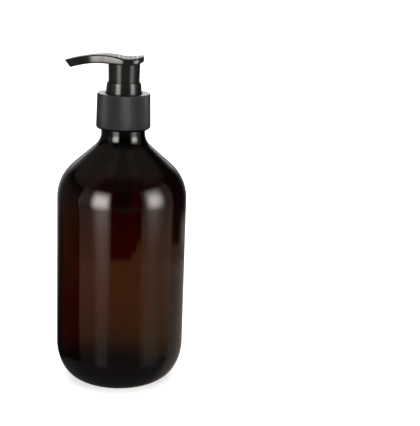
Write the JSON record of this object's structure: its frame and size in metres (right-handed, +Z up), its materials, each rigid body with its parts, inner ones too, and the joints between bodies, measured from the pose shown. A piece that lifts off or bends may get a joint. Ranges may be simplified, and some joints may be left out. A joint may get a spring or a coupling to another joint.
{
  "type": "pump oil bottle",
  "caption": "Round amber bottle with sloping shoulder and rounded base, closed by a ribbed screw collar carrying a lotion pump with a curved spout and sprung head.",
  "frame": {"origin": "centre of the bottle's base, on the bottle's axis", "axes": "+Z up along the bottle's axis; the spout points along -X"},
  "size_m": [0.075, 0.075, 0.1922],
  "materials": {
    "amber_plastic": "glossy, clear dark amber",
    "collar_plastic": "fine matte, dark grey",
    "pump_plastic": "satin gloss, black",
    "natural_plastic": "satin, natural white",
    "tube_plastic": "satin, milky",
    "piston_plastic": "soft satin",
    "gasket": "matte foam",
    "steel": "bright"
  },
  "bodies": {
    "bottle": {"bottle": "amber_plastic"},
    "pump": {"chaplet": "pump_plastic", "housing": "natural_plastic", "neck_gasket": "gasket", "dip_tube": "tube_plastic", "ball_cage": "natural_plastic", "spring": "steel"},
    "collar": {"collar": "collar_plastic"},
    "inlet_ball": {"inlet_ball": "steel"},
    "plunger": {"stem": "natural_plastic", "piston_rod": "natural_plastic"},
    "piston": {"piston": "piston_plastic"},
    "head": {"head": "pump_plastic"}
  },
  "joints": [
    {"name": "pump_lift", "type": "slide", "parent": "bottle", "child": "pump", "axis": [0, 0, 1], "range_m": [0, 0.00635]},
    {"name": "collar_turn", "type": "hinge", "parent": "pump", "child": "collar", "pos_m": [0, 0, 0.16], "axis": [0, 0, 1], "range_deg": [0, 540]},
    {"name": "head_press", "type": "slide", "parent": "pump", "child": "plunger", "axis": [0, 0, -1], "range_m": [0, 0.0095], "stiffness_N_per_m": 700, "springref_m": -0.003, "deforming": ["spring"]},
    {"name": "head_turn", "type": "hinge", "parent": "plunger", "child": "head", "pos_m": [0, 0, 0.1867], "axis": [0, 0, 1], "continuous": true},
    {"name": "piston_float", "type": "slide", "parent": "plunger", "child": "piston", "axis": [0, 0, 1], "range_m": [0, 0.001]},
    {"name": "ball_lift", "type": "slide", "parent": "pump", "child": "inlet_ball", "axis": [0, 0, 1], "range_m": [0, 0.002]}
  ],
  "couplings": [
    {"joint": "pump_lift", "follows": "collar_turn", "m_per_rad": 0.0006737}
  ]
}
